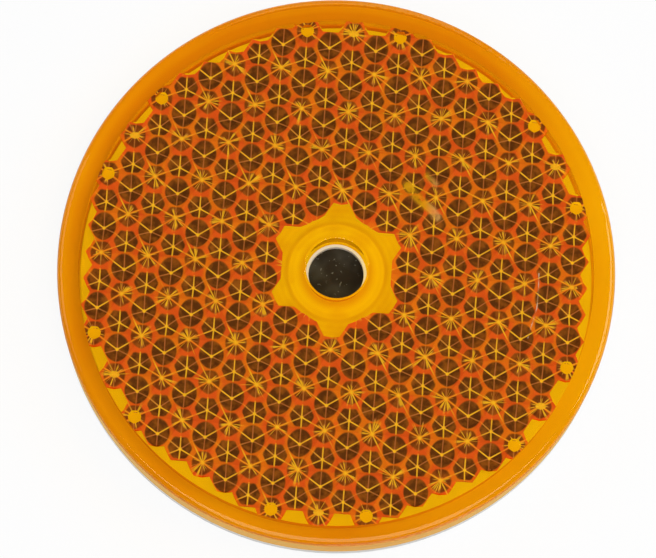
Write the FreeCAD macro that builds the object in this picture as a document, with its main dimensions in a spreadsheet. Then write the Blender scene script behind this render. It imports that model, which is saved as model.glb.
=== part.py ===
"""Round adhesive reflector: an amber prism lens on a white back plate with a foam tape and its liner.

The reflector lies face up. The origin is at the middle of its underside and +Z points out of the face.
"""

import FreeCAD
import Part
import Sketcher
import math
import os

doc = FreeCAD.newDocument("adhesive_reflector")

SIZES = [
    ("lens_diameter", "60", "outside of the lens skirt and of the back plate"),
    ("skirt_width", "2.25", "wall of the skirt round the prisms"),
    ("face_thickness", "1.5", "plain face in front of the prisms"),
    ("front_edge_radius", "0.8", "rounding of the outer front edge"),
    ("prism_pitch", "2.93", "distance between neighbouring cells"),
    ("prism_land", "0.1", "solid strip between the groove roots and the face"),
    ("tip_loss", "0.06", "height a moulded tip falls short of a sharp corner"),
    ("tip_clearance", "0.4", "gap from the prism tips to the back plate"),
    ("field_margin", "0.55", "least gap from a cell centre to the skirt"),
    ("post_margin", "1.15", "groove crossings nearer the skirt than this carry a post"),
    ("post_diameter", "1.4", "round posts on the rim of the prism field"),
    ("boss_drop", "2", "height of the plain boss behind the face"),
    ("pillar_diameter", "10.6", "pillar of the back plate under the boss"),
    ("screw_diameter", "6", "screw hole in the back plate"),
    ("hole_step", "0.3", "how much wider the lens hole is, on the radius"),
    ("hole_edge_bevel", "0.25", "bevel of the front edge of the hole"),
    ("screw_wall", "0.8", "thickness of the pillar end under the boss"),
    ("pillar_wall", "1", "wall of the hollow pillar"),
    ("flange_thickness", "2", "edge of the back plate under the skirt"),
    ("flange_edge_bevel", "0.4", "bevel of the lower edge of the back plate"),
    ("spigot_height", "0.8", "step of the back plate that centres the lens"),
    ("spigot_clearance", "0.15", "gap between the step and the skirt"),
    ("tape_thickness", "1", "foam tape"),
    ("tape_inset", "2.5", "tape edge inside the edge of the back plate"),
    ("liner_thickness", "0.12", "release paper under the tape"),
]

LEVELS = [
    ("lens_radius", "=sizes.lens_diameter / 2", "outside radius"),
    ("skirt_radius", "=lens_radius - sizes.skirt_width", "inside of the skirt"),
    ("spigot_radius", "=skirt_radius - sizes.spigot_clearance", "outside of the centring step"),
    ("tape_radius", "=lens_radius - sizes.tape_inset", "outside of tape and liner"),
    ("pillar_radius", "=sizes.pillar_diameter / 2", "outside of the pillar"),
    ("field_reach", "=skirt_radius - sizes.field_margin", "cells with centres inside it carry prisms"),
    ("post_reach", "=skirt_radius - sizes.post_margin", "groove crossings outside it carry a post"),
    ("screw_radius", "=sizes.screw_diameter / 2", "hole in the back plate"),
    ("hole_radius", "=screw_radius + sizes.hole_step", "hole in the lens"),
    ("pillar_bore_radius", "=pillar_radius - sizes.pillar_wall", "inside of the pillar"),
    ("prism_height", "=sizes.prism_pitch / sqrt(2) - sizes.tip_loss", "cube corner from root to tip"),
    ("plate_level", "=sizes.liner_thickness + sizes.tape_thickness", "underside of the back plate"),
    ("flange_level", "=plate_level + sizes.flange_thickness", "seat of the skirt"),
    ("floor_level", "=flange_level + sizes.spigot_height", "inner floor of the back plate"),
    ("tip_level", "=floor_level + sizes.tip_clearance", "prism tips"),
    ("root_level", "=tip_level + prism_height", "groove roots"),
    ("face_level", "=root_level + sizes.prism_land", "back of the plain face"),
    ("sunk_level", "=face_level + sizes.face_thickness / 2", "where prisms and posts end in the face"),
    ("front_level", "=face_level + sizes.face_thickness", "front of the face"),
    ("boss_level", "=face_level - sizes.boss_drop", "seat of the boss on the pillar"),
    ("pillar_bore_level", "=boss_level - sizes.screw_wall", "end of the hollow in the pillar"),
    ("groove_depth", "=root_level - plate_level", "height of a groove cutter"),
    ("groove_half_width", "=groove_depth / sqrt(2)", "half width at the foot of a groove cutter"),
]

GROOVE_TURNS = (90, 210, 330)


def fill_sheet(name, rows):
    """Write one named value a row and give its cell the same alias."""
    sheet = doc.addObject("Spreadsheet::Sheet", name)
    for row, (alias, content, note) in enumerate(rows, start=1):
        sheet.set(f"A{row}", alias)
        sheet.set(f"B{row}", content)
        sheet.set(f"C{row}", note)
        sheet.setAlias(f"B{row}", alias)
    doc.recompute()
    return sheet


sizes = fill_sheet("sizes", SIZES)
levels = fill_sheet("levels", LEVELS)


def bind(item, **expressions):
    """Bind properties of an object to the sheets."""
    for name, expression in expressions.items():
        item.setExpression(name, expression)


def revolved_body(name, corners):
    """Body turned about Z from a closed section; each corner names its radius and its level."""
    body = doc.addObject("PartDesign::Body", name)
    section = body.newObject("Sketcher::SketchObject", name + "_section")
    plane = next(item for item in body.Origin.OriginFeatures if item.Role == "XZ_Plane")
    section.AttachmentSupport = (plane, [""])
    section.MapMode = "FlatFace"
    points = [FreeCAD.Vector(levels.get(radius), levels.get(level), 0) for radius, level in corners]
    count = len(points)
    for index, point in enumerate(points):
        section.addGeometry(Part.LineSegment(point, points[(index + 1) % count]), False)
    for index in range(count):
        section.addConstraint(Sketcher.Constraint("Coincident", index, 2, (index + 1) % count, 1))
    for index, (radius, level) in enumerate(corners):
        across = section.addConstraint(Sketcher.Constraint("DistanceX", -1, 1, index, 1, points[index].x))
        upward = section.addConstraint(Sketcher.Constraint("DistanceY", -1, 1, index, 1, points[index].y))
        section.setExpression(f"Constraints[{across}]", f"levels.{radius}")
        section.setExpression(f"Constraints[{upward}]", f"levels.{level}")
    turned = body.newObject("PartDesign::Revolution", name + "_turned")
    turned.Profile = section
    turned.ReferenceAxis = (section, ["V_Axis"])
    turned.Angle = 360
    doc.recompute()
    return body


def circle_name(shape, radius, level):
    """Name of the circular edge with this radius at this level."""
    for index, edge in enumerate(shape.Edges, start=1):
        curve = edge.Curve
        if not isinstance(curve, Part.Circle):
            continue
        if math.isclose(curve.Radius, radius, abs_tol=1e-6) and math.isclose(curve.Center.z, level, abs_tol=1e-6):
            return f"Edge{index}"
    raise ValueError(f"no circle of radius {radius} at level {level}")


def dress_edge(body, name, radius, level, kind, length):
    """Round or bevel one circular edge of a turned body: a Fillet has a Radius and a Chamfer has a Size."""
    tip = body.Tip
    dressed = body.newObject(f"PartDesign::{kind}", name)
    dressed.Base = (tip, [circle_name(tip.Shape, levels.get(radius), levels.get(level))])
    dressed.setExpression("Radius" if kind == "Fillet" else "Size", f"sizes.{length}")
    doc.recompute()


def cell_sites():
    """Cells inside the skirt: column, row and distance of the centre from the axis."""
    pitch = sizes.get("prism_pitch")
    steps = math.ceil(2 * levels.get("field_reach") / pitch)
    sites = []
    for column in range(-steps, steps + 1):
        for row in range(-steps, steps + 1):
            reach = pitch * math.sqrt(column * column + column * row + row * row)
            if reach <= levels.get("field_reach"):
                sites.append((column, row, reach))
    return sites


def cell_outline(sites):
    """Closed outline round the hexagonal cells."""
    pitch = sizes.get("prism_pitch")
    corner_radius = pitch / math.sqrt(3)
    sides = {}
    places = {}
    for column, row, _ in sites:
        centre_x = pitch * column * math.sqrt(3) / 2
        centre_y = pitch * (column / 2 + row)
        corners = []
        for corner in range(6):
            angle = math.radians(60 * corner)
            x = centre_x + corner_radius * math.cos(angle)
            y = centre_y + corner_radius * math.sin(angle)
            key = (round(2 * x / corner_radius), round(2 * y / pitch))
            places[key] = FreeCAD.Vector(x, y, 0)
            corners.append(key)
        for start, end in zip(corners, corners[1:] + corners[:1]):
            if (end, start) in sides:
                del sides[(end, start)]
            else:
                sides[(start, end)] = True
    following = dict(sides.keys())
    start, key = following.popitem()
    loop = [places[start], places[key]]
    while key != start:
        key = following.pop(key)
        loop.append(places[key])
    return Part.makePolygon(loop)


def star_outline():
    """Closed outline of the plain boss: six blunt points, each round the outer sides of a cell two pitches out."""
    pitch = sizes.get("prism_pitch")
    corner_radius = pitch / math.sqrt(3)
    corners = []
    for point in range(6):
        turned = FreeCAD.Rotation(FreeCAD.Vector(0, 0, 1), 60 * point)
        for across, along in (
            (corner_radius, 2 * pitch),
            (corner_radius / 2, 2.5 * pitch),
            (-corner_radius / 2, 2.5 * pitch),
            (-corner_radius, 2 * pitch),
        ):
            corners.append(turned.multVec(FreeCAD.Vector(across, along, 0)))
    return Part.makePolygon(corners + corners[:1])


def block_in_face(name, wires, level):
    """Straight block inside an outline, from a level up into the face."""
    outline = doc.addObject("Part::Feature", name + "_outline")
    outline.Shape = Part.makeFace(wires, "Part::FaceMakerBullseye")
    outline.setExpression("Placement.Base.z", f"levels.{level}")
    block = doc.addObject("Part::Extrusion", name)
    block.Base = outline
    block.DirMode = "Custom"
    block.Dir = FreeCAD.Vector(0, 0, 1)
    block.Solid = True
    block.setExpression("LengthFwd", f"levels.sunk_level - levels.{level}")
    return block


def groove_cutter(turn, step):
    """Long V-shaped cutter for one groove, a whole number of groove spacings from the axis."""
    cutter = doc.addObject("Part::Wedge", "groove")
    across = f"{step} * 1.5 * sizes.prism_pitch"
    bind(
        cutter,
        Xmin="-levels.groove_half_width",
        Xmax="levels.groove_half_width",
        X2min="0",
        X2max="0",
        Ymin="0",
        Ymax="levels.groove_depth",
        Zmin="-levels.lens_radius",
        Zmax="levels.lens_radius",
        Z2min="-levels.lens_radius",
        Z2max="levels.lens_radius",
    )
    upright = FreeCAD.Rotation(FreeCAD.Vector(1, 0, 0), 90)
    turned = FreeCAD.Rotation(FreeCAD.Vector(0, 0, 1), turn)
    cutter.Placement = FreeCAD.Placement(FreeCAD.Vector(0, 0, 0), turned.multiply(upright))
    cutter.setExpression("Placement.Base.x", f"{across} * cos({turn} deg)")
    cutter.setExpression("Placement.Base.y", f"{across} * sin({turn} deg)")
    cutter.setExpression("Placement.Base.z", "levels.plate_level")
    return cutter


def prism_field(sites):
    """Block over the cells round the boss, cut by three sets of parallel grooves into cube corners."""
    field = block_in_face("prism_block", [cell_outline(sites), star_outline()], "tip_level")
    steps = math.floor((levels.get("field_reach") + sizes.get("prism_pitch")) / (1.5 * sizes.get("prism_pitch")))
    for turn in GROOVE_TURNS:
        grooves = doc.addObject("Part::Compound", "groove_set")
        grooves.Links = [groove_cutter(turn, step) for step in range(-steps, steps + 1)]
        cut = doc.addObject("Part::Cut", "grooved_block")
        cut.Base = field
        cut.Tool = grooves
        field = cut
    return field


def rim_post(column, row):
    """Round post where grooves cross at the rim of the prism field."""
    post = doc.addObject("Part::Cylinder", "rim_post")
    bind(
        post,
        Radius="sizes.post_diameter / 2",
        Height="levels.sunk_level - levels.tip_level",
    )
    post.setExpression("Placement.Base.x", f"{column} * sqrt(3) / 2 * sizes.prism_pitch")
    post.setExpression("Placement.Base.y", f"({column} / 2 + {row}) * sizes.prism_pitch")
    post.setExpression("Placement.Base.z", "levels.tip_level")
    return post


def plain_boss():
    """Star-shaped boss round the hole, which stands on the pillar of the back plate."""
    star = block_in_face("star_block", [star_outline()], "boss_level")
    bore = doc.addObject("Part::Cylinder", "boss_bore")
    bind(bore, Radius="levels.hole_radius", Height="levels.front_level")
    boss = doc.addObject("Part::Cut", "plain_boss")
    boss.Base = star
    boss.Tool = bore
    return boss


def make_lens():
    """Amber lens in one moulding: face, skirt, boss, prisms and posts."""
    shell = revolved_body("lens_shell", [
        ("hole_radius", "face_level"),
        ("skirt_radius", "face_level"),
        ("skirt_radius", "flange_level"),
        ("lens_radius", "flange_level"),
        ("lens_radius", "front_level"),
        ("hole_radius", "front_level"),
    ])
    dress_edge(shell, "front_edge", "lens_radius", "front_level", "Fillet", "front_edge_radius")
    dress_edge(shell, "hole_edge", "hole_radius", "front_level", "Chamfer", "hole_edge_bevel")
    sites = cell_sites()
    post_reach = levels.get("post_reach")
    crossings = [site for site in sites if (site[0] - site[1]) % 3 == 0 and site[2] > post_reach]
    posts = [rim_post(column, row) for column, row, _ in crossings]
    lens = doc.addObject("Part::MultiFuse", "lens")
    lens.Shapes = [shell, plain_boss(), prism_field(sites)] + posts
    lens.Refine = True
    return lens


def make_back_plate():
    """White back plate with the step that centres the lens and a hollow pillar for the screw."""
    plate = revolved_body("back_plate", [
        ("screw_radius", "pillar_bore_level"),
        ("screw_radius", "boss_level"),
        ("pillar_radius", "boss_level"),
        ("pillar_radius", "floor_level"),
        ("spigot_radius", "floor_level"),
        ("spigot_radius", "flange_level"),
        ("lens_radius", "flange_level"),
        ("lens_radius", "plate_level"),
        ("pillar_bore_radius", "plate_level"),
        ("pillar_bore_radius", "pillar_bore_level"),
    ])
    dress_edge(plate, "plate_edge", "lens_radius", "plate_level", "Chamfer", "flange_edge_bevel")
    return plate


def make_foam_tape():
    """Ring of double-sided foam tape under the back plate, open under the pillar."""
    sheet = doc.addObject("Part::Cylinder", "tape_sheet")
    bind(sheet, Radius="levels.tape_radius", Height="sizes.tape_thickness")
    sheet.setExpression("Placement.Base.z", "sizes.liner_thickness")
    opening = doc.addObject("Part::Cylinder", "tape_opening")
    bind(opening, Radius="levels.pillar_radius", Height="sizes.tape_thickness")
    opening.setExpression("Placement.Base.z", "sizes.liner_thickness")
    tape = doc.addObject("Part::Cut", "foam_tape")
    tape.Base = sheet
    tape.Tool = opening
    return tape


def make_release_liner():
    """Sheet of release paper that covers the tape and its opening."""
    liner = doc.addObject("Part::Cylinder", "release_liner")
    bind(liner, Radius="levels.tape_radius", Height="sizes.liner_thickness")
    return liner


pieces = [make_lens(), make_back_plate(), make_foam_tape(), make_release_liner()]
doc.recompute()

for item in doc.Objects:
    if "Invalid" in item.State or "Error" in item.State:
        raise RuntimeError(f"{item.Label} was not made: {item.State}")

os.makedirs("parts", exist_ok=True)
for piece in pieces:
    if piece.Shape.isNull() or not piece.Shape.isValid():
        raise RuntimeError(f"{piece.Label} has no valid shape")
    piece.Shape.exportStep(f"parts/{piece.Label}.step")
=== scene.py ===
"""Looks of the round adhesive reflector: amber prism lens, white back plate, foam tape and release paper."""

import math

import bpy
from mathutils import Matrix, Vector


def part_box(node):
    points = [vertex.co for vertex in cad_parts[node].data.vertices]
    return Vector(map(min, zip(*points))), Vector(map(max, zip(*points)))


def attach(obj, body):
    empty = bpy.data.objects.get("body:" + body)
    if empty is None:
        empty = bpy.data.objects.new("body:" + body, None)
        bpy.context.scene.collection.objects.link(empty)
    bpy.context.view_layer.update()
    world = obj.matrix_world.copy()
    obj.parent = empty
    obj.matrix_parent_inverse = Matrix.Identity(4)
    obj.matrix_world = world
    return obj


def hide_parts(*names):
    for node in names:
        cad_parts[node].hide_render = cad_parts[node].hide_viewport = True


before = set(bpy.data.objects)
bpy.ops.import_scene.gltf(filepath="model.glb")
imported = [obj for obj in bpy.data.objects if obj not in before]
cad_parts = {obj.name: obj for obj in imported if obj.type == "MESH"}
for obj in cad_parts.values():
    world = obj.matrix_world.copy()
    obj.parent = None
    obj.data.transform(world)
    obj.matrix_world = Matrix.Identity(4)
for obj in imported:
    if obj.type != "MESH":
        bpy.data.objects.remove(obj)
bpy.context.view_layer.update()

bl_info = {
    "name": "Adhesive Reflector",
    "version": (1, 0, 0),
    "blender": (4, 5, 0),
    "location": "3D View > Sidebar > Reflector",
    "description": "Dresses the packed reflector with its amber, white, foam and paper finishes",
    "category": "Object",
}

MM = 0.001

# Upright share of the normal of a cube corner's facet.
FACET_RISE = 1 / math.sqrt(3)

# Curved faces that meet at less than this angle are shaded as one.
SMOOTH_ANGLE = math.radians(25)

# Film of air between the seats of the lens and the back plate.
SEAT_GAP = 0.02 * MM

# Material slots of the lens.
FRONT, BACK, SEAT, CELLS = range(4)

# Directions of the three lines of spokes through a cell, in degrees.
SPOKE_TURNS = (90, 30, 150)

# Brightness of the spokes of the cells, along each direction and against it: painted highlights on the edges
# of the prisms and painted reflections of them, brighter or dimmer by direction as the light falls.
SPOKES_DOWNWARD = ((0.26, 0.26), (0.72, 0.32), (0.76, 0.32))
SPOKES_UPWARD = ((0.70, 1.00), (0.28, 0.58), (0.46, 0.80))
SPOKES_CROSSING = ((0.26, 0.26), (0.55, 0.38), (0.66, 0.36))

# Wear on the face, as points in millimetres: a hazy smear, a fainter one beside it and a thin curved scratch.
SMEAR = ((7.0, 9.6), (8.1, 8.4), (8.7, 7.9), (9.7, 7.1), (10.3, 6.4))
FAINT_SMEAR = ((9.0, 10.8), (9.9, 10.0))
SCRATCH = ((21.7, 1.0), (21.75, -0.8), (21.7, -2.8), (21.4, -4.1), (20.95, -6.1))

# Colours of the wear, of the satin side of the lens, of lighter patches in the painted reflection of a dark
# prism and of dust.
SMEAR_AMBER = (0.76, 0.36, 0.005, 1.0)
SMEAR_PALE = (0.74, 0.38, 0.1, 1.0)
SCRATCH_PALE = (0.7, 0.55, 0.42, 1.0)
SIDE_AMBER = (0.72, 0.34, 0.02, 1.0)
REFLECTION_PATCH_BROWN = (0.31, 0.125, 0.05, 1.0)
DUST_GREY = (0.5, 0.5, 0.44, 1.0)
WHITE = (1.0, 1.0, 1.0, 1.0)

# Radii on the end of the boss: shade round the hole, the ring over the pillar and the outer end of the marks.
HOLE_SHADE = (4.6 * MM, 3.4 * MM)
RING_INSIDE = (5.0 * MM, 5.3 * MM)
RING_OUTSIDE = (5.9 * MM, 5.35 * MM)
MARKS_END = (9.0 * MM, 8.0 * MM)

# Soft square lamps: name, place, width and share of the lamp power.
LAMPS = (
    ("lamp_above", (0.05, -0.38, 0.64), 0.7, 2.1),
    ("lamp_right", (0.52, 0.12, 0.42), 0.4, 1.0),
    ("lamp_left", (-0.52, 0.12, 0.42), 0.4, 0.4),
    ("lamp_far", (0.0, 0.6, 0.42), 0.4, 0.3),
)
FLOOR_SIZE = 3.0
FLOOR_LEVEL = -0.05 * MM
FLOOR_SEEN_SHARE = 0.88

# Camera of the photo: place, direction and roll, with the lens and the sensor in millimetres.
CAMERA_PLACE = Vector((-1.55, -77.96, 375.17)) * MM
CAMERA_AHEAD = Vector((0.0019, 0.2043, -0.9789))
CAMERA_ROLL = math.radians(4.8)
CAMERA_LENS = 192.07
CAMERA_SENSOR = 36.0


class LensLook(bpy.types.PropertyGroup):
    """Sizes and colours of the amber lens."""

    prism_pitch: bpy.props.FloatProperty(
        name="Prism Pitch",
        description="Distance between neighbouring prism cells",
        default=2.93 * MM,
        min=0.5 * MM,
        unit="LENGTH",
    )
    lens_radius: bpy.props.FloatProperty(
        name="Lens Radius",
        description="Outer radius of the lens",
        default=30.0 * MM,
        min=1.0 * MM,
        unit="LENGTH",
    )
    skirt_width: bpy.props.FloatProperty(
        name="Skirt Width",
        description="Wall of the skirt round the prisms",
        default=2.25 * MM,
        min=0.1 * MM,
        unit="LENGTH",
    )
    boss_level: bpy.props.FloatProperty(
        name="Boss Level",
        description="Height of the end of the plain boss above the underside",
        default=4.4318 * MM,
        unit="LENGTH",
    )
    front_amber: bpy.props.FloatVectorProperty(
        name="Front Amber",
        description="Tint taken on at the polished front of the lens",
        subtype="COLOR",
        size=4,
        default=(1.0, 0.92, 0.5, 1.0),
        min=0.0,
        max=1.0,
    )
    lamp_amber: bpy.props.FloatVectorProperty(
        name="Lamp Amber",
        description="Tint of the light that falls through the front of the lens",
        subtype="COLOR",
        size=4,
        default=(1.0, 0.8, 0.3, 1.0),
        min=0.0,
        max=1.0,
    )
    back_amber: bpy.props.FloatVectorProperty(
        name="Back Amber",
        description="Tint taken on at the back of the plain face",
        subtype="COLOR",
        size=4,
        default=(1.0, 0.76, 0.012, 1.0),
        min=0.0,
        max=1.0,
    )
    seat_yellow: bpy.props.FloatVectorProperty(
        name="Seat Yellow",
        description="Colour of the boss and the skirt where they stand on the back plate",
        subtype="COLOR",
        size=4,
        default=(0.78, 0.55, 0.003, 1.0),
        min=0.0,
        max=1.0,
    )
    # On the skirt this colour gives way to painted light towards the outer edge and at the right, and deepens
    # as painted shade at the far side.
    seat_orange: bpy.props.FloatVectorProperty(
        name="Seat Orange",
        description="Deeper colour along the weld of the skirt and round the hole",
        subtype="COLOR",
        size=4,
        default=(0.61, 0.265, 0.003, 1.0),
        min=0.0,
        max=1.0,
    )
    # Painted reflection: the dark surroundings that a prism returns.
    cell_reflection_brown: bpy.props.FloatVectorProperty(
        name="Cell Brown",
        description="Dark colour of a prism that returns the light",
        subtype="COLOR",
        size=4,
        default=(0.115, 0.047, 0.03, 1.0),
        min=0.0,
        max=1.0,
    )
    web_orange: bpy.props.FloatVectorProperty(
        name="Web Orange",
        description="Lighter colour of the web between the cells",
        subtype="COLOR",
        size=4,
        default=(0.82, 0.27, 0.04, 1.0),
        min=0.0,
        max=1.0,
    )
    web_red: bpy.props.FloatVectorProperty(
        name="Web Red",
        description="Deeper colour of the web between the cells",
        subtype="COLOR",
        size=4,
        default=(0.78, 0.15, 0.055, 1.0),
        min=0.0,
        max=1.0,
    )
    # Painted highlight on the bright edges of the prisms.
    glint_yellow: bpy.props.FloatVectorProperty(
        name="Spoke Yellow",
        description="Colour of the bright edges of the prisms",
        subtype="COLOR",
        size=4,
        default=(0.95, 0.72, 0.1, 1.0),
        min=0.0,
        max=1.0,
    )
    # Painted highlight on the dim edges of the prisms.
    dim_glint_red: bpy.props.FloatVectorProperty(
        name="Spoke Rust",
        description="Colour of the dim edges of the prisms",
        subtype="COLOR",
        size=4,
        default=(0.45, 0.185, 0.15, 1.0),
        min=0.0,
        max=1.0,
    )


class BackingLook(bpy.types.PropertyGroup):
    """Colours of the back plate, the foam tape and its liner."""

    plate_white: bpy.props.FloatVectorProperty(
        name="Plate White",
        description="Moulded plastic of the back plate",
        subtype="COLOR",
        size=4,
        default=(0.68, 0.68, 0.665, 1.0),
        min=0.0,
        max=1.0,
    )
    foam_white: bpy.props.FloatVectorProperty(
        name="Foam White",
        description="Foam of the adhesive tape",
        subtype="COLOR",
        size=4,
        default=(0.78, 0.77, 0.72, 1.0),
        min=0.0,
        max=1.0,
    )
    paper_brown: bpy.props.FloatVectorProperty(
        name="Paper Brown",
        description="Glazed release paper",
        subtype="COLOR",
        size=4,
        default=(0.045, 0.034, 0.022, 1.0),
        min=0.0,
        max=1.0,
    )


class StageLook(bpy.types.PropertyGroup):
    """Floor and light round the reflector."""

    floor_white: bpy.props.FloatVectorProperty(
        name="Floor White",
        description="Colour of the floor",
        subtype="COLOR",
        size=4,
        default=(0.9, 0.9, 0.9, 1.0),
        min=0.0,
        max=1.0,
    )
    lamp_power: bpy.props.FloatProperty(
        name="Lamp Power",
        description="Power of a soft lamp at the side; the others have a share of it",
        default=2.0,
        min=0.0,
        unit="POWER",
    )
    sky_strength: bpy.props.FloatProperty(
        name="Sky Strength",
        description="Even light from all round",
        default=0.06,
        min=0.0,
    )


class Graph:
    """Adds nodes to one node tree and links them."""

    def __init__(self, tree):
        self.tree = tree

    def add(self, kind, **settings):
        """Add a node and set its properties."""
        node = self.tree.nodes.new(kind)
        for name, value in settings.items():
            setattr(node, name, value)
        return node

    def feed(self, socket, value):
        """Link an output to a socket, or write a plain value on it."""
        if isinstance(value, bpy.types.NodeSocket):
            self.tree.links.new(value, socket)
        else:
            socket.default_value = value

    def math(self, operation, *values):
        """Number worked out from one to three numbers."""
        node = self.add("ShaderNodeMath", operation=operation)
        for socket, value in zip(node.inputs, values):
            self.feed(socket, value)
        return node.outputs[0]

    def vector(self, operation, *values, output="Vector"):
        """Vector worked out from one to three vectors."""
        node = self.add("ShaderNodeVectorMath", operation=operation)
        for socket, value in zip(node.inputs, values):
            self.feed(socket, value)
        return node.outputs[output]

    def measure(self, operation, *values):
        """Number worked out from one or two vectors."""
        return self.vector(operation, *values, output="Value")

    def axis_distance(self, place):
        """Distance from the axis of the reflector."""
        return self.measure("LENGTH", self.vector("MULTIPLY", place, (1.0, 1.0, 0.0)))

    def step(self, value, start, end):
        """Smooth step from 0 at start to 1 at end."""
        node = self.add("ShaderNodeMapRange", interpolation_type="SMOOTHSTEP")
        for socket, number in zip(node.inputs, (value, min(start, end), max(start, end))):
            self.feed(socket, number)
        rising = end > start
        node.inputs["To Min"].default_value = 0.0 if rising else 1.0
        node.inputs["To Max"].default_value = 1.0 if rising else 0.0
        return node.outputs["Result"]

    def mix_colour(self, share, first, second):
        """Colour between two colours."""
        node = self.add("ShaderNodeMix", data_type="RGBA")
        self.feed(node.inputs[0], share)
        self.feed(node.inputs[6], first)
        self.feed(node.inputs[7], second)
        return node.outputs[2]

    def mix_shader(self, share, first, second):
        """Shader between two shaders."""
        node = self.add("ShaderNodeMixShader")
        self.feed(node.inputs[0], share)
        self.feed(node.inputs[1], first)
        self.feed(node.inputs[2], second)
        return node.outputs[0]

    def noise(self, vector, scale, detail):
        """Cloudy noise between 0 and 1."""
        node = self.add("ShaderNodeTexNoise")
        self.feed(node.inputs["Vector"], vector)
        node.inputs["Scale"].default_value = scale
        node.inputs["Detail"].default_value = detail
        return node.outputs["Fac"]

    def bump(self, height, distance):
        """Normal of a surface with fine relief."""
        node = self.add("ShaderNodeBump")
        node.inputs["Distance"].default_value = distance
        self.feed(node.inputs["Height"], height)
        return node.outputs["Normal"]


def new_material(name):
    """Empty material with its output node."""
    material = bpy.data.materials.new(name)
    material.use_nodes = True
    graph = Graph(material.node_tree)
    graph.tree.nodes.clear()
    output = graph.add("ShaderNodeOutputMaterial")
    place = graph.add("ShaderNodeTexCoord").outputs["Object"]
    return material, graph, output, place


def lengthwise(turn):
    """Unit vector in the plane of the face."""
    angle = math.radians(turn)
    return (math.cos(angle), math.sin(angle), 0.0)


def cell_offset(graph, place, row):
    """Offset from the nearest cell of one kind, in pitches; the kinds follow each other up the rows."""
    half = (math.sqrt(3) / 2, 1.5, 1.0)
    opposite = tuple(-length for length in half)
    shifted = graph.vector("SUBTRACT", place, (0.0, float(row), 0.0))
    staggered = graph.vector("SUBTRACT", shifted, (half[0], half[1], 0.0))
    first = graph.vector("WRAP", shifted, half, opposite)
    second = graph.vector("WRAP", staggered, half, opposite)
    nearer = graph.math("LESS_THAN", graph.measure("LENGTH", second), graph.measure("LENGTH", first))
    choice = graph.add("ShaderNodeMix", data_type="VECTOR")
    graph.feed(choice.inputs[0], nearer)
    graph.feed(choice.inputs[4], first)
    graph.feed(choice.inputs[5], second)
    return choice.outputs[1]


def hexagon_size(graph, offset):
    """Distance from the middle of a flat-topped hexagon to its sides."""
    size = 0.0
    for turn in SPOKE_TURNS:
        side = graph.math("ABSOLUTE", graph.measure("DOT_PRODUCT", offset, lengthwise(turn)))
        size = graph.math("MAXIMUM", size, side)
    return size


def spoke_light(graph, offset, brightness, reach):
    """Brightness of the painted highlights on the spokes that cross in one cell, and of their painted
    reflections; past its reach they fade, the upright ones at once.
    """
    length = graph.measure("LENGTH", offset)
    inside = graph.step(length, reach + 0.05, reach - 0.03)
    near = graph.math("MULTIPLY", graph.step(length, 0.75, 0.5), 0.45)
    light = 0.0
    for turn, (ahead, behind) in zip(SPOKE_TURNS, brightness):
        along = graph.measure("DOT_PRODUCT", offset, lengthwise(turn))
        across = graph.math("ABSOLUTE", graph.measure("DOT_PRODUCT", offset, lengthwise(turn + 90)))
        forward = graph.math("GREATER_THAN", along, 0.0)
        level = graph.math("MULTIPLY_ADD", forward, ahead - behind, behind)
        line = graph.math("MULTIPLY", graph.step(across, 0.037, 0.012), level)
        fade = inside if turn == 90 else graph.math("MAXIMUM", inside, near)
        light = graph.math("MAXIMUM", light, graph.math("MULTIPLY", line, fade))
    return light


def stroke(graph, place, points, width):
    """Soft line through points on the face: 1 along its middle and 0 at its edge."""
    level = graph.vector("MULTIPLY", place, (1.0, 1.0, 0.0))
    line = 0.0
    for start, end in zip(points, points[1:]):
        first = Vector((*start, 0.0)) * MM
        run = Vector((*end, 0.0)) * MM - first
        offset = graph.vector("SUBTRACT", level, first)
        share = graph.measure("DOT_PRODUCT", offset, run / run.length_squared)
        share = graph.math("MINIMUM", graph.math("MAXIMUM", share, 0.0), 1.0)
        gap = graph.vector("SUBTRACT", offset, graph.vector("MULTIPLY", run, share))
        line = graph.math("MAXIMUM", line, graph.step(graph.measure("LENGTH", gap), width / 2, 0.0))
    return line


def clear_to_lamps(graph, output, surface, tint=WHITE):
    """Finish a lens surface so that the lamps reach what is behind it."""
    clear = graph.add("ShaderNodeBsdfTransparent")
    clear.inputs["Color"].default_value = tint
    shadow = graph.add("ShaderNodeLightPath").outputs["Is Shadow Ray"]
    graph.feed(output.inputs["Surface"], graph.mix_shader(shadow, surface, clear.outputs[0]))


def lens_paint(graph, colour, tint):
    """Coloured back of the lens, lit from both sides as if it faced up; upright walls stay clear."""
    surface = graph.add("ShaderNodeNewGeometry").outputs
    lifted = graph.vector("NORMALIZE", graph.vector("ADD", surface["Normal"], (0.0, 0.0, 2.5)))
    front = graph.add("ShaderNodeBsdfDiffuse")
    graph.feed(front.inputs["Color"], colour)
    graph.feed(front.inputs["Normal"], lifted)
    behind = graph.add("ShaderNodeBsdfTranslucent")
    graph.feed(behind.inputs["Color"], colour)
    wall = graph.add("ShaderNodeBsdfTransparent")
    wall.inputs["Color"].default_value = tint
    rise = graph.math("ABSOLUTE", graph.measure("DOT_PRODUCT", surface["True Normal"], (0.0, 0.0, 1.0)))
    paint = graph.mix_shader(0.5, front.outputs[0], behind.outputs[0])
    return graph.mix_shader(graph.step(rise, 0.1, 0.3), wall.outputs[0], paint)


def amber_glass(graph, tint):
    """Clear tinted acrylic."""
    glass = graph.add("ShaderNodeBsdfGlass")
    graph.feed(glass.inputs["Color"], tint)
    glass.inputs["Roughness"].default_value = 0.0
    glass.inputs["IOR"].default_value = 1.49
    return glass.outputs[0]


def amber_back(look):
    """Back of the plain face and the wall of the hole, a little uneven in tint."""
    material, graph, output, place = new_material("amber_back")
    deeper = tuple(0.88 * part for part in look.back_amber[:3]) + (1.0,)
    tint = graph.mix_colour(graph.noise(place, 300.0, 2.0), look.back_amber, deeper)
    clear_to_lamps(graph, output, amber_glass(graph, tint))
    return material


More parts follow.
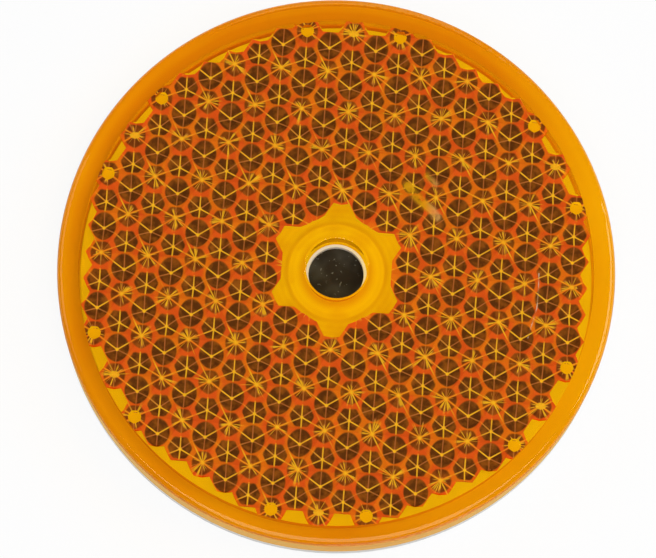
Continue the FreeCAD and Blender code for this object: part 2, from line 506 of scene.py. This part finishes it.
def skirt_shade(graph, place, radius, look):
    """Deeper tint over the seat of the skirt, cloudy; paler towards the outer edge as painted light, deepest
    at the far side as painted shade and palest at the right as painted light.
    """
    inside = look.lens_radius - look.skirt_width
    # Painted light: the seat of the skirt turns paler towards its outer edge.
    painted_rim_light = graph.step(radius, look.lens_radius - 0.3 * MM, look.lens_radius - 1.4 * MM)
    painted_rim_light = graph.math("MULTIPLY_ADD", painted_rim_light, 0.25, 0.75)
    skirt = graph.math("MULTIPLY", graph.step(radius, inside - 0.25 * MM, inside), painted_rim_light)
    clouds = graph.math("MULTIPLY_ADD", graph.noise(place, 70.0, 1.0), 0.6, 0.5)
    # Painted shade deepens the skirt at the far side and painted light makes it paler at the right.
    for direction, painted_light_shift in (((0.0, 1.0, 0.0), 0.4), ((1.0, 0.0, 0.0), -0.4)):
        side = graph.step(graph.measure("DOT_PRODUCT", place, direction), 8.0 * MM, 28.0 * MM)
        clouds = graph.math("MULTIPLY_ADD", side, painted_light_shift, clouds)
    return graph.math("MULTIPLY", skirt, clouds)


def boss_shade(graph, place, radius):
    """Deeper tint on the boss: round the hole, over the pillar's edge, in fine rings and in flow marks."""
    hole = graph.math("MULTIPLY", graph.step(radius, *HOLE_SHADE), 0.7)
    pillar = graph.math("MULTIPLY", graph.step(radius, *RING_INSIDE), graph.step(radius, *RING_OUTSIDE))
    waves = graph.math("SINE", graph.math("MULTIPLY", radius, 9500.0))
    rings = graph.math("MULTIPLY_ADD", waves, 0.05, 0.05)
    flow = graph.math("MULTIPLY", graph.step(graph.noise(place, 330.0, 2.0), 0.42, 0.7), 0.3)
    marks = graph.math("MAXIMUM", graph.math("MULTIPLY", pillar, 0.42), graph.math("ADD", rings, flow))
    return graph.math("MULTIPLY", graph.math("MAXIMUM", hole, marks), graph.step(radius, *MARKS_END))


def amber_seat(look):
    """Ends of boss and skirt, where the white plate shines through."""
    material, graph, output, place = new_material("amber_seat")
    radius = graph.axis_distance(place)
    skirt = skirt_shade(graph, place, radius, look)
    shade = graph.math("MAXIMUM", skirt, boss_shade(graph, place, radius))
    colour = graph.mix_colour(shade, look.seat_yellow, look.seat_orange)
    clear_to_lamps(graph, output, lens_paint(graph, colour, look.back_amber))
    return material


def amber_front(look):
    """Polished front of the lens with two hazy smears and a thin scratch, and its satin side."""
    material, graph, output, place = new_material("amber_front")
    patches = graph.step(graph.noise(place, 600.0, 3.0), 0.22, 0.56)
    smear = graph.math("MINIMUM", stroke(graph, place, SMEAR, 1.5 * MM), 0.66)
    faint = graph.math("MULTIPLY", stroke(graph, place, FAINT_SMEAR, 1.2 * MM), 0.5)
    haze = graph.math("MULTIPLY", graph.math("MAXIMUM", smear, faint), patches)
    breaks = graph.step(graph.noise(place, 500.0, 2.0), 0.35, 0.6)
    scratch = graph.math("MULTIPLY", stroke(graph, place, SCRATCH, 0.24 * MM), breaks)
    along = graph.measure("DOT_PRODUCT", place, (1.0, 0.0, 0.0))
    paler = graph.step(along, 8.8 * MM, 10.4 * MM)
    film = graph.mix_colour(paler, SMEAR_AMBER, SMEAR_PALE)
    radius = graph.axis_distance(place)
    side = graph.step(radius, look.lens_radius - 0.06 * MM, look.lens_radius - 0.02 * MM)
    film = graph.mix_colour(side, film, SIDE_AMBER)
    scuffed = graph.add("ShaderNodeBsdfDiffuse")
    graph.feed(scuffed.inputs["Color"], graph.mix_colour(scratch, film, SCRATCH_PALE))
    worn = graph.math("MAXIMUM", haze, graph.math("MULTIPLY", scratch, 0.8))
    worn = graph.math("MAXIMUM", worn, graph.math("MULTIPLY", side, 0.55))
    surface = graph.mix_shader(worn, amber_glass(graph, look.front_amber), scuffed.outputs[0])
    clear_to_lamps(graph, output, surface, look.lamp_amber)
    return material


def prism_reflections(graph, downward, upward):
    """Dark painted reflection of the surroundings in the backs of the two kinds of cube corner: round ones
    and hexagons with soft corners.
    """
    oval = graph.measure("LENGTH", graph.vector("MULTIPLY", downward, (1 / 0.92, 1 / 1.02, 0.0)))
    rounded = graph.math("MULTIPLY", graph.measure("LENGTH", upward), 0.91)
    hexagon = graph.math("MAXIMUM", hexagon_size(graph, upward), rounded)
    return graph.math("MAXIMUM", graph.step(oval, 0.525, 0.46), graph.step(hexagon, 0.43, 0.37))


def petal_reflections(graph, flat, crossing):
    """Painted reflection: dark petals round a groove crossing that lies clear of the plain boss."""
    reach = graph.measure("LENGTH", graph.vector("MULTIPLY", crossing, (1.12, 1.0, 0.0)))
    petals = graph.math("MULTIPLY", graph.step(reach, 0.475, 0.40), graph.step(reach, 0.05, 0.16))
    for turn in SPOKE_TURNS[1:]:
        across = graph.math("ABSOLUTE", graph.measure("DOT_PRODUCT", crossing, lengthwise(turn + 90)))
        petals = graph.math("MULTIPLY", petals, graph.step(across, 0.015, 0.055))
    clear_of_boss = graph.math("MULTIPLY", graph.step(graph.measure("LENGTH", flat), 2.25, 2.45), 0.9)
    return graph.math("MULTIPLY", petals, clear_of_boss)


def crossing_rays(graph, flat, crossing):
    """Painted highlights: fine uneven rays from a groove crossing; on some a long one follows a groove
    outwards.
    """
    site = graph.vector("SUBTRACT", flat, crossing)
    heading = graph.vector("NORMALIZE", crossing)
    ring = graph.vector("ADD", graph.vector("MULTIPLY", heading, (1.9, 1.9, 0.0)), site)
    rays = graph.step(graph.noise(ring, 2.0, 1.0), 0.53, 0.62)
    length = graph.math("MULTIPLY_ADD", graph.noise(ring, 0.6, 0.0), 0.95, -0.02)
    share = graph.math("DIVIDE", graph.measure("LENGTH", crossing), length)
    rays = graph.math("MULTIPLY", rays, graph.step(share, 1.0, 0.45))
    along = graph.measure("DOT_PRODUCT", crossing, lengthwise(120))
    across = graph.math("ABSOLUTE", graph.measure("DOT_PRODUCT", crossing, lengthwise(30)))
    leftward = graph.measure("DOT_PRODUCT", flat, (-1.0, 0.0, 0.0))
    outward = graph.math("GREATER_THAN", graph.math("MULTIPLY", along, leftward), 0.0)
    run = graph.step(graph.math("ABSOLUTE", along), 0.95, 0.4)
    groove = graph.math("MULTIPLY", graph.step(across, 0.035, 0.012), run)
    chosen = graph.math("MULTIPLY", outward, graph.step(graph.noise(site, 0.9, 0.0), 0.42, 0.6))
    return graph.math("MAXIMUM", rays, graph.math("MULTIPLY", groove, chosen))


def amber_cells(look):
    """Backs of the prisms: dark cells, a painted reflection of the dark surroundings, with bright spokes,
    painted highlights and their painted reflections, in an orange web.
    """
    material, graph, output, place = new_material("amber_cells")
    flat = graph.vector("MULTIPLY", place, (1 / look.prism_pitch, 1 / look.prism_pitch, 0.0))
    crossing = cell_offset(graph, flat, 0)
    downward = cell_offset(graph, flat, 1)
    upward = cell_offset(graph, flat, 2)

    clouds = graph.noise(flat, 1.1, 3.0)
    above = graph.measure("DOT_PRODUCT", upward, (0.0, 1.0, 0.0))
    aside = graph.math("ABSOLUTE", graph.measure("DOT_PRODUCT", upward, (1.0, 0.0, 0.0)))
    bar = graph.math("MULTIPLY", graph.step(above, 0.30, 0.42), graph.step(aside, 0.42, 0.25))
    red = graph.math("MAXIMUM", graph.step(clouds, 0.37, 0.6), bar)
    web = graph.mix_colour(red, look.web_orange, look.web_red)
    # Lighter patches in the painted reflection of the dark cells.
    reflection_patches = graph.step(graph.noise(flat, 3.2, 3.0), 0.38, 0.74)
    brown = graph.mix_colour(reflection_patches, look.cell_reflection_brown, REFLECTION_PATCH_BROWN)
    # Painted reflection: dark where the prisms return the dark surroundings.
    dark = graph.math("MAXIMUM", prism_reflections(graph, downward, upward), petal_reflections(graph, flat, crossing))

    # Painted highlights: rays from the groove crossings.
    light = crossing_rays(graph, flat, crossing)
    # Painted highlights on the spokes and a bright dot in the middle of each cell.
    for offset, brightness, reach, glow in (
        (downward, SPOKES_DOWNWARD, 0.50, 0.10),
        (upward, SPOKES_UPWARD, 0.43, 0.10),
        (crossing, SPOKES_CROSSING, 0.45, 0.16),
    ):
        light = graph.math("MAXIMUM", light, spoke_light(graph, offset, brightness, reach))
        light = graph.math("MAXIMUM", light, graph.step(graph.measure("LENGTH", offset), glow, 0.02))
    # Painted highlight: a bright spot on the groove crossings near the rim.
    rim = graph.step(graph.measure("LENGTH", flat), 8.75, 8.85)
    spot = graph.measure("LENGTH", graph.vector("MULTIPLY", crossing, (1.0, 1.5, 0.0)))
    light = graph.math("MAXIMUM", light, graph.math("MULTIPLY", graph.step(spot, 0.22, 0.16), rim))
    # The painted highlights flicker from place to place.
    flicker = graph.math("MULTIPLY_ADD", graph.noise(flat, 2.3, 2.0), 0.8, 0.55)
    light = graph.math("MINIMUM", graph.math("MULTIPLY", light, flicker), 1.0)

    cover = graph.math("MAXIMUM", light, graph.math("MULTIPLY", graph.step(light, 0.02, 0.3), dark))
    yellow = graph.math("MAXIMUM", graph.step(light, 0.2, 0.75), graph.math("SUBTRACT", 1.0, dark))
    spokes = graph.mix_colour(yellow, look.dim_glint_red, look.glint_yellow)
    colour = graph.mix_colour(cover, graph.mix_colour(dark, web, brown), spokes)
    clear_to_lamps(graph, output, lens_paint(graph, colour, look.back_amber))
    return material


def plain_material(name, colour, roughness, scale, spread, relief, dust=0.0):
    """Opaque finish with cloudy colour, fine relief and, where asked for, pale specks of dust."""
    material, graph, output, place = new_material(name)
    paint = graph.add("ShaderNodeBsdfPrincipled")
    clouds = graph.noise(place, scale, 4.0)
    deeper = tuple(part * (1 - spread) for part in colour[:3]) + (1.0,)
    tone = graph.mix_colour(clouds, colour, deeper)
    if dust:
        specks = graph.math("MULTIPLY", graph.step(graph.noise(place, 2600.0, 2.0), 0.64, 0.74), dust)
        film = graph.math("MULTIPLY", graph.step(graph.noise(place, 260.0, 2.0), 0.4, 0.7), 0.3 * dust)
        tone = graph.mix_colour(graph.math("MAXIMUM", specks, film), tone, DUST_GREY)
    graph.feed(paint.inputs["Base Color"], tone)
    paint.inputs["Roughness"].default_value = roughness
    paint.inputs["Specular IOR Level"].default_value = 0.2
    graph.feed(paint.inputs["Normal"], graph.bump(graph.noise(place, 8 * scale, 3.0), relief))
    graph.feed(output.inputs["Surface"], paint.outputs[0])
    return material


def merged_copy(node_name, piece_name):
    """Copy of a CAD node with its triangles merged and its curved faces shaded smooth."""
    bpy.ops.object.select_all(action="DESELECT")
    piece = bpy.data.objects.new(piece_name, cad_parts[node_name].data.copy())
    bpy.context.scene.collection.objects.link(piece)
    bpy.context.view_layer.objects.active = piece
    piece.select_set(True)
    piece.data.materials.clear()
    bpy.ops.object.mode_set(mode="EDIT")
    bpy.ops.mesh.select_all(action="SELECT")
    bpy.ops.mesh.remove_doubles(threshold=0.0005 * MM)
    bpy.ops.object.mode_set(mode="OBJECT")
    bpy.ops.object.shade_smooth_by_angle(angle=SMOOTH_ANGLE)
    return piece


def polish_front(piece):
    """Keep the front and the sides of the lens smooth and the prisms on its back flat."""
    for face in piece.data.polygons:
        face.use_smooth = face.normal.z > -0.1
    even = piece.modifiers.new("even_normals", "WEIGHTED_NORMAL")
    even.weight = 100
    even.keep_sharp = True
    bpy.ops.object.modifier_apply(modifier=even.name)


def part_walls(piece):
    """Shade the round walls of a flat piece apart from its level faces."""
    bpy.ops.mesh.customdata_custom_splitnormals_clear()
    for face in piece.data.polygons:
        face.use_smooth = abs(face.normal.z) < 0.99


def settle(piece, node_name):
    """Put a finished piece in the place of its CAD node."""
    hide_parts(node_name)
    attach(piece, "root")


class OBJECT_OT_reflector_lens(bpy.types.Operator):
    """Make the amber lens with its prisms"""

    bl_idname = "object.reflector_lens"
    bl_label = "Amber Lens"

    def execute(self, context):
        look = context.scene.reflector_lens
        lens = merged_copy("lens", "prism_lens")
        polish_front(lens)
        for material in (
            amber_front(look),
            amber_back(look),
            amber_seat(look),
            amber_cells(look),
        ):
            lens.data.materials.append(material)
        self.part_seats(lens)
        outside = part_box("lens")[1].x
        for face in lens.data.polygons:
            face.material_index = self.finish_of(face, look, outside)
        settle(lens, "lens")
        return {"FINISHED"}

    def finish_of(self, face, look, outside):
        """Material slot of one face of the lens, whose outer radius is given."""
        skirt_radius = outside - look.skirt_width
        radius = math.hypot(face.center.x, face.center.y)
        rising = face.normal.z
        inward = face.normal.x * face.center.x + face.normal.y * face.center.y < -0.9 * radius
        end = rising < -0.9 and face.center.z < look.boss_level + 0.05 * MM
        tip = rising < -0.9 and face.area < 0.012 * MM * MM
        facet = abs(rising + FACET_RISE) < 0.02
        wall = abs(rising) < 0.02 and radius > 2 * look.prism_pitch
        if rising > 0.02 or radius > outside - 0.05 * MM:
            return FRONT
        if inward and radius > skirt_radius - 0.2 * MM:
            return BACK
        if radius > skirt_radius or end and not tip:
            return SEAT
        return CELLS if facet or tip or wall else BACK

    def part_seats(self, lens):
        """Part the two seats of the lens from the plate by a film of air, as under any clear moulding."""
        seat_levels = (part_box("lens")[0].z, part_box("back_plate")[1].z)
        bpy.ops.object.mode_set(mode="EDIT")
        bpy.ops.mesh.select_all(action="DESELECT")
        bpy.ops.object.mode_set(mode="OBJECT")
        for vertex in lens.data.vertices:
            vertex.select = any(abs(vertex.co.z - level) < 0.001 * MM for level in seat_levels)
        bpy.ops.object.mode_set(mode="EDIT")
        bpy.ops.transform.translate(value=(0.0, 0.0, SEAT_GAP))
        bpy.ops.object.mode_set(mode="OBJECT")


class OBJECT_OT_reflector_backing(bpy.types.Operator):
    """Make the back plate, the foam tape and the release paper"""

    bl_idname = "object.reflector_backing"
    bl_label = "Plate and Tape"

    def execute(self, context):
        look = context.scene.reflector_backing
        plastic = plain_material("white_plastic", look.plate_white, 0.42, 90.0, 0.06, 0.01 * MM)
        foam = plain_material("white_foam", look.foam_white, 0.9, 700.0, 0.15, 0.12 * MM)
        paper = plain_material("brown_paper", look.paper_brown, 0.4, 400.0, 0.3, 0.01 * MM, dust=0.5)
        for node_name, piece_name, material, slot_name in (
            ("back_plate", "white_plate", plastic, "white_plate"),
            ("foam_tape", "foam_ring", foam, "white_foam"),
            ("release_liner", "paper_liner", paper, "brown_paper"),
        ):
            piece = merged_copy(node_name, piece_name)
            part_walls(piece)
            piece.data.materials.append(material)
            settle(piece, node_name)
        return {"FINISHED"}


class OBJECT_OT_reflector_stage(bpy.types.Operator):
    """Make the floor, the lamps and the camera"""

    bl_idname = "object.reflector_stage"
    bl_label = "Stage"

    def execute(self, context):
        look = context.scene.reflector_stage
        scene = context.scene
        scene.view_settings.view_transform = "Standard"
        bpy.ops.object.select_all(action="DESELECT")
        bpy.ops.mesh.primitive_plane_add(size=FLOOR_SIZE, location=(0.0, 0.0, FLOOR_LEVEL))
        floor = context.object
        floor.name = "floor"
        floor.data.materials.append(self.floor_material(look))
        self.add_sky(scene, look)
        for name, place, width, share in LAMPS:
            self.add_lamp(scene, name, Vector(place), width, share * look.lamp_power)
        self.add_camera(scene)
        return {"FINISHED"}

    def floor_material(self, look):
        """White floor that the camera sees as the background."""
        material, graph, output, _ = new_material("floor_white")
        paint = graph.add("ShaderNodeBsdfDiffuse")
        paint.inputs["Color"].default_value = look.floor_white
        white = graph.add("ShaderNodeEmission")
        white.inputs["Color"].default_value = WHITE
        rays = graph.add("ShaderNodeLightPath").outputs
        seen = graph.math("ADD", rays["Is Camera Ray"], rays["Is Glossy Ray"])
        seen = graph.math("ADD", seen, rays["Is Transmission Ray"])
        seen = graph.math("MULTIPLY", graph.math("MINIMUM", seen, 1.0), FLOOR_SEEN_SHARE)
        graph.feed(output.inputs["Surface"], graph.mix_shader(seen, paint.outputs[0], white.outputs[0]))
        return material

    def add_sky(self, scene, look):
        """Even pale light from all round."""
        sky = bpy.data.worlds.new("sky")
        sky.use_nodes = True
        backdrop = sky.node_tree.nodes["Background"]
        backdrop.inputs["Color"].default_value = WHITE
        backdrop.inputs["Strength"].default_value = look.sky_strength
        scene.world = sky

    def add_lamp(self, scene, name, place, width, power):
        """Soft square lamp aimed at the reflector."""
        light = bpy.data.lights.new(name, "AREA")
        light.size = width
        light.energy = power
        lamp = bpy.data.objects.new(name, light)
        lamp.location = place
        lamp.rotation_euler = (-place).to_track_quat("-Z", "Y").to_euler()
        scene.collection.objects.link(lamp)

    def add_camera(self, scene):
        """Camera above the near edge, turned a little to the left."""
        ahead = CAMERA_AHEAD.normalized()
        level = ahead.cross(Vector((0.0, 0.0, 1.0))).normalized()
        rise = level.cross(ahead)
        right = level * math.cos(CAMERA_ROLL) + rise * math.sin(CAMERA_ROLL)
        up = right.cross(ahead)
        optics = bpy.data.cameras.new("camera")
        optics.sensor_width = CAMERA_SENSOR
        optics.lens = CAMERA_LENS
        optics.clip_start = 0.01
        camera = bpy.data.objects.new("camera", optics)
        turn = Matrix((right, up, -ahead)).transposed()
        camera.matrix_world = Matrix.Translation(CAMERA_PLACE) @ turn.to_4x4()
        scene.collection.objects.link(camera)
        scene.camera = camera


class VIEW3D_PT_reflector(bpy.types.Panel):
    """Reflector pieces and their finishes"""

    bl_idname = "VIEW3D_PT_reflector"
    bl_label = "Adhesive Reflector"
    bl_space_type = "VIEW_3D"
    bl_region_type = "UI"
    bl_category = "Reflector"

    def draw(self, context):
        for operator, settings in (
            ("object.reflector_lens", context.scene.reflector_lens),
            ("object.reflector_backing", context.scene.reflector_backing),
            ("object.reflector_stage", context.scene.reflector_stage),
        ):
            box = self.layout.box()
            box.operator(operator)
            for name in settings.__annotations__:
                box.prop(settings, name)


CLASSES = (
    LensLook,
    BackingLook,
    StageLook,
    OBJECT_OT_reflector_lens,
    OBJECT_OT_reflector_backing,
    OBJECT_OT_reflector_stage,
    VIEW3D_PT_reflector,
)


def register():
    for cls in CLASSES:
        bpy.utils.register_class(cls)
    bpy.types.Scene.reflector_lens = bpy.props.PointerProperty(type=LensLook)
    bpy.types.Scene.reflector_backing = bpy.props.PointerProperty(type=BackingLook)
    bpy.types.Scene.reflector_stage = bpy.props.PointerProperty(type=StageLook)


def unregister():
    del bpy.types.Scene.reflector_stage
    del bpy.types.Scene.reflector_backing
    del bpy.types.Scene.reflector_lens
    for cls in reversed(CLASSES):
        bpy.utils.unregister_class(cls)


def main():
    register()
    bpy.ops.object.reflector_lens()
    bpy.ops.object.reflector_backing()
    bpy.ops.object.reflector_stage()


if __name__ == "__main__":
    main()
